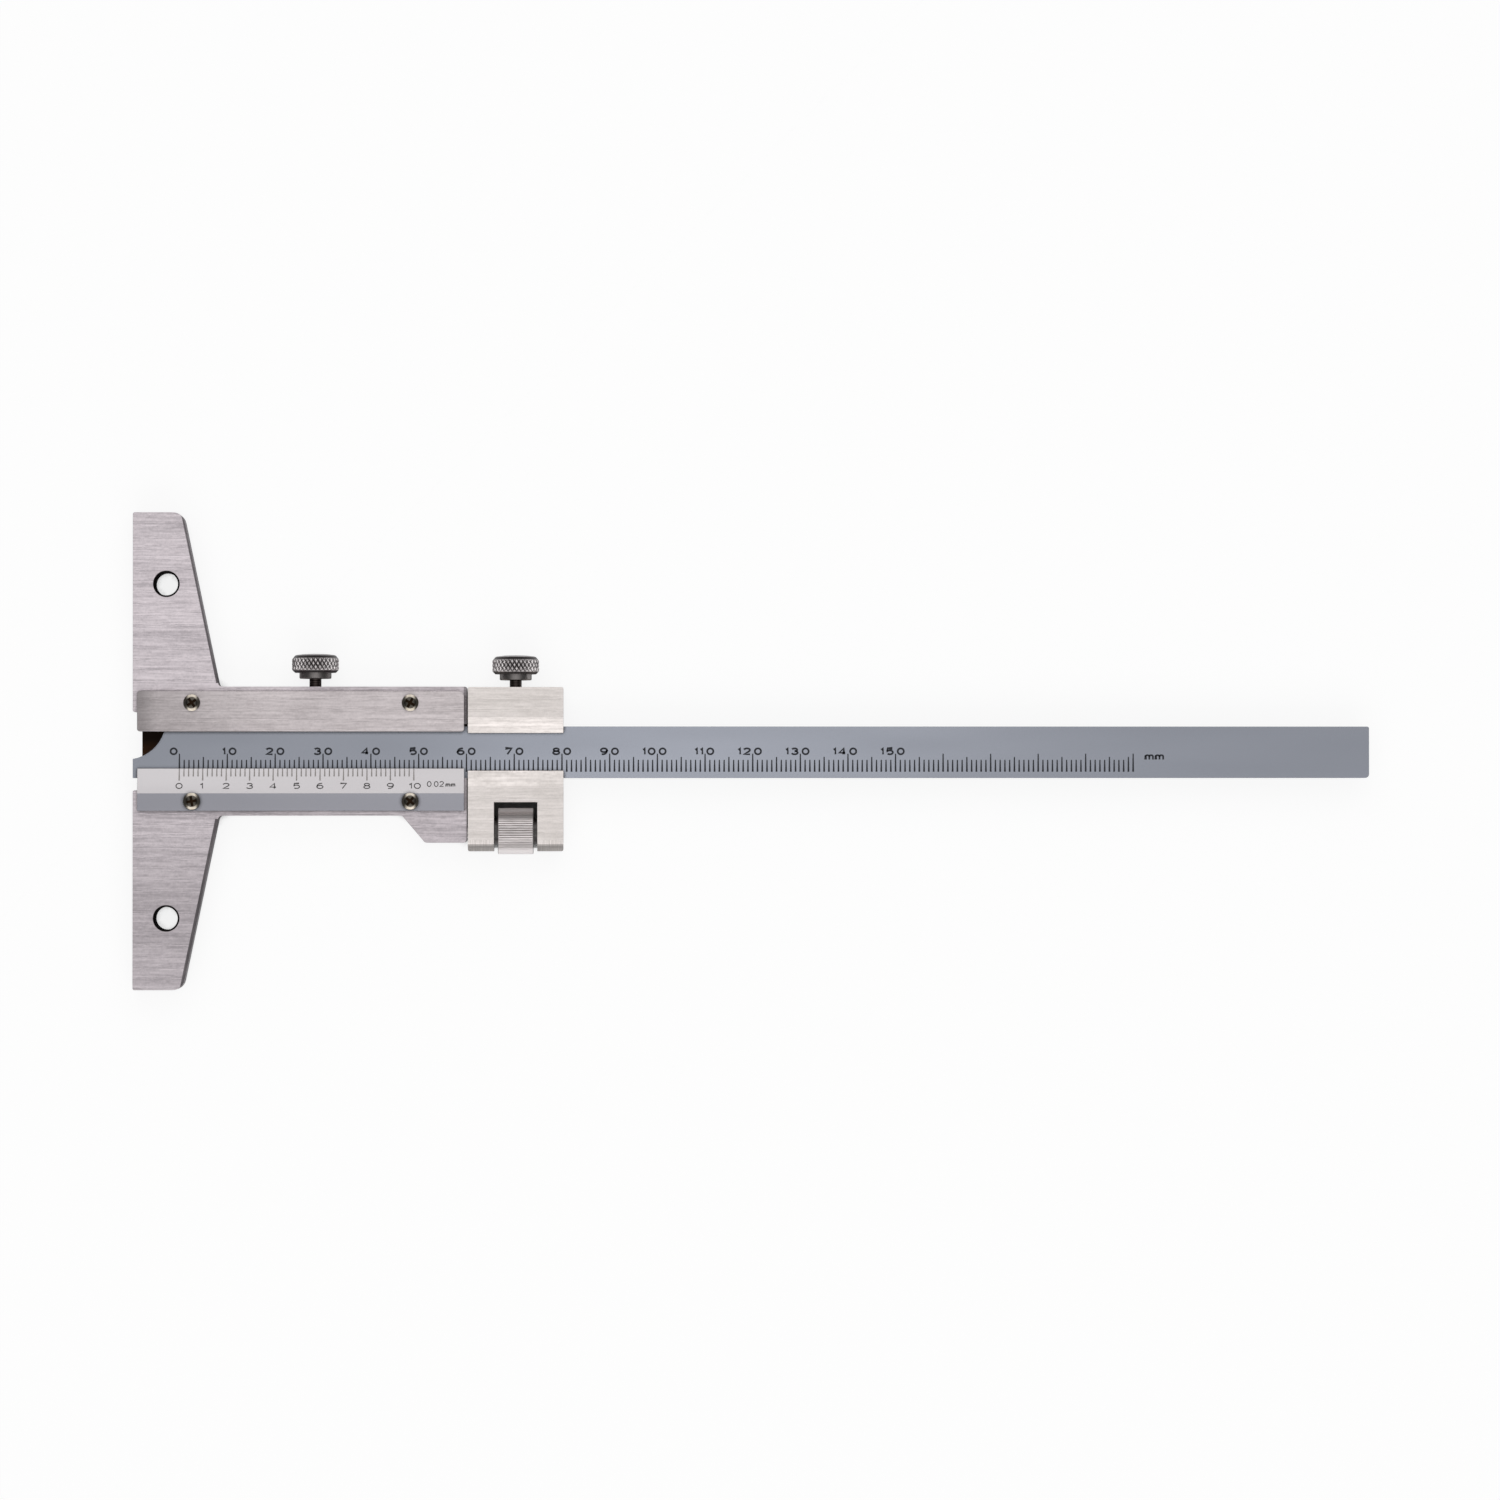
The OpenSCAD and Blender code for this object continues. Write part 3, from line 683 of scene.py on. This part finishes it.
SCALE_ZERO = 2.75
SCALE_END = 200
LAST_NUMBER = 150
MARK_W = 0.22
MARK_FOOT = -4.33
TEN_TOP, FIVE_TOP, ONE_TOP = -0.54, -1.22, -1.83
FIGURE = (1.65, 1.6)
FIGURE_FOOT = -0.85
FIGURE_WEIGHT = 0.36
FIGURE_GAP = 0.42
LEFT_OF_MARK, RIGHT_OF_MARK = 0.38, 0.27
UNIT_X, UNIT_FOOT = 202.45, -1.93
scale_lines = Print(beam_z)
scale_figures = Print(beam_z)
# The line before the last is as long as one at 5 mm, as in the photograph
for mm in range(SCALE_END + 1):
    if mm % 10 == 0:
        mark_top = TEN_TOP
    elif mm % 5 == 0 or mm == SCALE_END - 1:
        mark_top = FIVE_TOP
    else:
        mark_top = ONE_TOP
    scale_lines.line(SCALE_ZERO + mm, MARK_FOOT, mark_top, MARK_W)
for mm in range(0, LAST_NUMBER + 1, 10):
    mark_x = SCALE_ZERO + mm
    leading = str(mm)[:-1] or "0"
    start = mark_x - LEFT_OF_MARK - scale_figures.length(leading, FIGURE, FIGURE_GAP)
    scale_figures.write(leading, start, FIGURE_FOOT, FIGURE, FIGURE_WEIGHT, FIGURE_GAP)
    if mm:
        scale_figures.write("0", mark_x + RIGHT_OF_MARK, FIGURE_FOOT, FIGURE, FIGURE_WEIGHT)
scale_figures.write("mm", SCALE_ZERO + UNIT_X, UNIT_FOOT, size=(1.9, 1.25), weight=0.34,
                    gap=0.25)
scale_lines.piece("scale_lines", black_ink, "beam", "black_ink")
scale_figures.piece("scale_figures", black_ink, "beam", "black_ink")


# Vernier: 50 divisions of 0.98 mm, numbered 0 to 10

VERNIER_STEP = 0.98
DIVISIONS = 50
LINE_W = 0.16
LONG_FOOT, SHORT_FOOT = -6.16, -5.3
LINE_TOP = VERNIER_HIGH.y - 0.02
SMALL_FIGURE = (1.45, 1.25)
SMALL_FOOT = -7.92
SMALL_WEIGHT = 0.19
LEFT_OF_LAST = 0.99
READING_X, READING_UNIT_X = 51.75, 55.65
READING_FOOT = -7.5
vernier_lines = Print(vernier_z)
vernier_figures = Print(vernier_z)
for i in range(DIVISIONS + 1):
    foot = LONG_FOOT if i % 5 == 0 else SHORT_FOOT
    vernier_lines.line(SCALE_ZERO + i * VERNIER_STEP, foot, LINE_TOP, LINE_W)
for number in range(10):
    line_x = SCALE_ZERO + number * 5 * VERNIER_STEP
    wide = vernier_figures.length(str(number), SMALL_FIGURE)
    stem_on_line = number == 1
    start = line_x - (wide - SMALL_WEIGHT / 2 if stem_on_line else wide / 2)
    vernier_figures.write(str(number), start, SMALL_FOOT, SMALL_FIGURE, SMALL_WEIGHT)
last_x = SCALE_ZERO + DIVISIONS * VERNIER_STEP
vernier_figures.write("10", last_x - LEFT_OF_LAST, SMALL_FOOT, SMALL_FIGURE, SMALL_WEIGHT,
                      gap=0.4)
vernier_figures.write("0.02", SCALE_ZERO + READING_X, READING_FOOT, size=(0.95, 1.2),
                      weight=0.16, gap=0.18)
vernier_figures.write("mm", SCALE_ZERO + READING_UNIT_X, READING_FOOT, size=(0.95, 0.72),
                      weight=0.19, gap=0.14)
vernier_lines.piece("vernier_lines", pale_ink, "slider", "grey_ink")
vernier_figures.piece("vernier_figures", grey_ink, "slider", "grey_ink")


# Floor, lamps and world

def floor_material():
    """A pale paint that reads white in view and in mirrors, and keeps the shadow there.

    The gap under the feed nut's window is dark too, as little light reaches it. Places and
    distances are in metres here.
    """
    plain, plain_rough = 0.8, 0.9
    diffuse, full_glow = 0.2, 0.86
    window_x, window_y = (0.0672, 0.0815), (-0.0202, -0.0100)
    material = bpy.data.materials.new("floor")
    tree = Tree(material)
    paint = tree.tree.nodes["Principled BSDF"]
    paint.inputs["Roughness"].default_value = plain_rough
    paint.inputs["Specular IOR Level"].default_value = 0.1
    paint.inputs["Base Color"].default_value = (plain, plain, plain, 1.0)
    path = tree.add("ShaderNodeLightPath").outputs
    mirrored = tree.math("MAXIMUM", path["Is Glossy Ray"], path["Is Transmission Ray"])
    near_sky = tree.add("ShaderNodeAmbientOcclusion", {"Distance": 0.003}, samples=8)
    wide_sky = tree.add("ShaderNodeAmbientOcclusion", {"Distance": 0.012}, samples=4)
    x, y, _ = tree.axes(tree.add("ShaderNodeNewGeometry").outputs["Position"])
    under_window = tree.product(tree.inside(x, *window_x, soft=0.0002),
                                tree.inside(y, *window_y, soft=0.0002))
    in_gap = tree.product(under_window, tree.remap(wide_sky.outputs["AO"], 0.35, 0.6, 1.0, 0.0))
    seen_glow = tree.product(path["Is Camera Ray"], tree.math("SUBTRACT", 1.0, in_gap),
                             tree.remap(near_sky.outputs["AO"], 0.3, 0.44, 0.0, full_glow))
    mirrored_glow = tree.product(mirrored,
                                 tree.remap(wide_sky.outputs["AO"], 0.45, 0.95, 0.0, full_glow))
    glow = tree.math("ADD", seen_glow, mirrored_glow)
    faint = tree.add("ShaderNodeBsdfDiffuse", {"Color": (diffuse, diffuse, diffuse, 1.0)})
    light = tree.add("ShaderNodeEmission", {"Color": (1.0, 1.0, 1.0, 1.0), "Strength": glow})
    lit = tree.add("ShaderNodeAddShader")
    tree.feed(lit.inputs[0], faint.outputs["BSDF"])
    tree.feed(lit.inputs[1], light.outputs["Emission"])
    seen = tree.math("MAXIMUM", path["Is Camera Ray"], mirrored)
    both = tree.add("ShaderNodeMixShader", {"Fac": seen})
    tree.feed(both.inputs[1], paint.outputs["BSDF"])
    tree.feed(both.inputs[2], lit.outputs["Shader"])
    tree.feed(tree.tree.nodes["Material Output"].inputs["Surface"], both.outputs["Shader"])
    return material


def pale_floor():
    """Plain ground just under the object."""
    side = 6.0
    floor_z = cad_bounds[0].z - 0.0002
    data = bpy.data.meshes.new("floor")
    corners = [(-side, -side), (side, -side), (side, side), (-side, side)]
    data.from_pydata([(x, y, floor_z) for x, y in corners], [], [(0, 1, 2, 3)])
    ground = bpy.data.objects.new("floor", data)
    bpy.context.scene.collection.objects.link(ground)
    data.materials.append(floor_material())


def panel(name, place, size, radiance):
    """A soft rectangular lamp that faces the gauge. size and place are in metres."""
    aim = Vector((0.09, 0.0, 0.0))
    data = bpy.data.lights.new(name, "AREA")
    data.shape = "RECTANGLE"
    data.size, data.size_y = size
    data.energy = radiance * math.pi * size[0] * size[1]
    lamp = bpy.data.objects.new(name, data)
    lamp.location = place
    lamp.rotation_euler = (aim - Vector(place)).to_track_quat("-Z", "Y").to_euler()
    bpy.context.scene.collection.objects.link(lamp)


def studio_world():
    """Soft grey surroundings, paler overhead and dim beyond both ends of the gauge."""
    world = bpy.data.worlds.new("studio")
    bpy.context.scene.world = world
    tree = Tree(world)
    x, _, z = tree.axes(tree.add("ShaderNodeTexCoord").outputs["Generated"])
    height = tree.remap(z, 0.0, 1.0, 0.36, 0.69)
    endward = tree.remap(tree.math("ABSOLUTE", x), 0.3, 0.75, 1.0, 0.3, smooth=True)
    level = tree.math("MULTIPLY", height, endward)
    grey = tree.add("ShaderNodeCombineColor", {"Red": level, "Green": level, "Blue": level})
    tree.feed(tree.tree.nodes["Background"].inputs["Color"], grey.outputs["Color"])


pale_floor()
studio_world()
panel("upper_panel", place=(0.09, 0.84, 0.97), size=(1.6, 0.8), radiance=0.56)
panel("lower_panel", place=(0.09, -0.92, 0.95), size=(1.6, 0.75), radiance=0.74)
panel("overhead", place=(0.12, 0.0, 1.5), size=(0.2, 0.5), radiance=0.35)
